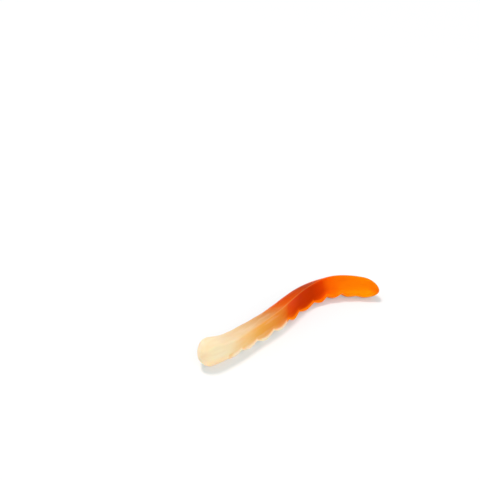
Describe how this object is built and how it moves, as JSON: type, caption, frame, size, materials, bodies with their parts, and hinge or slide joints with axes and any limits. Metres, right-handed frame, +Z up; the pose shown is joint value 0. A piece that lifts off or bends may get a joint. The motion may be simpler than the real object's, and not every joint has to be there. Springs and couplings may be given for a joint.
{
  "type": "gummy worm",
  "caption": "Soft gummy worm, pale cream at its round knob and orange at its tip, with a dished flat back and a scalloped long edge.",
  "frame": {"origin": "on the table, under the middle of the worm's bounding box", "axes": "+Z up from the table, +X along the longest extent from the cream knob to the orange tip, +Y away from the side that the flat back faces"},
  "size_m": [0.0782, 0.0604, 0.0112],
  "materials": {
    "gummy": "satin, slightly see-through, cream fading into orange"
  },
  "bodies": {
    "root": {"gummy_worm": "gummy"}
  },
  "joints": []
}
